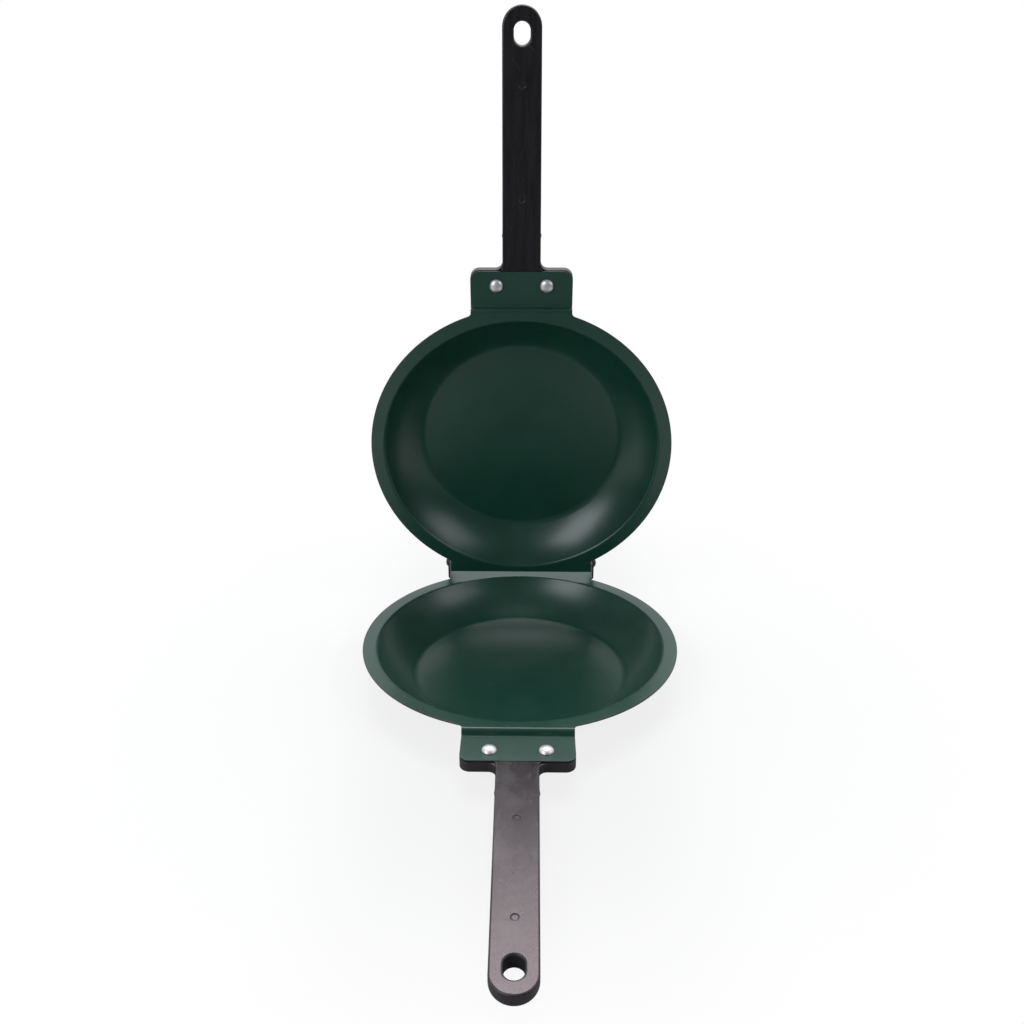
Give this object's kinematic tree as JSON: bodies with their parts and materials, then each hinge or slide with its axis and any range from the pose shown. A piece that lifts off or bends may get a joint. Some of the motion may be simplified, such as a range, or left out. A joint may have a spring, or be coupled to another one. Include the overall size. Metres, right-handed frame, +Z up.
{
  "type": "double sided flip pan",
  "caption": "Hinged double frying pan of two round pressed pans, each with a black moulded handle riveted to a stepped front tab, shown open.",
  "frame": {"origin": "middle of the lower pan's underside, on the surface that it stands on", "axes": "+Z up, the lower pan's handle points along -Y, the hinge is at the back at +Y and runs along X"},
  "size_m": [0.193, 0.3593, 0.3795],
  "materials": {
    "coated_sheet": "dark green non-stick coating on the cooking side, satin black coating on the outside",
    "black_moulding": "satin heat-resistant moulding with a slightly duller inner face",
    "polished_steel": "polished",
    "blackened_steel": "satin black"
  },
  "bodies": {
    "lower": {"lower_pan": "coated_sheet", "lower_handle": "black_moulding", "lower_rivet_left": "polished_steel", "lower_washer_left": "polished_steel", "lower_rivet_right": "polished_steel", "lower_washer_right": "polished_steel", "hinge_rivet_left": "blackened_steel", "hinge_washer_left": "blackened_steel", "hinge_rivet_right": "blackened_steel", "hinge_washer_right": "blackened_steel"},
    "upper": {"upper_pan": "coated_sheet", "upper_handle": "black_moulding", "upper_rivet_left": "polished_steel", "upper_washer_left": "polished_steel", "upper_rivet_right": "polished_steel", "upper_washer_right": "polished_steel"}
  },
  "joints": [
    {"name": "lid_hinge", "type": "hinge", "parent": "lower", "child": "upper", "pos_m": [0, 0.0905, 0.0321], "axis": [-1, 0, 0], "range_deg": [-82.6, 97.4]}
  ]
}
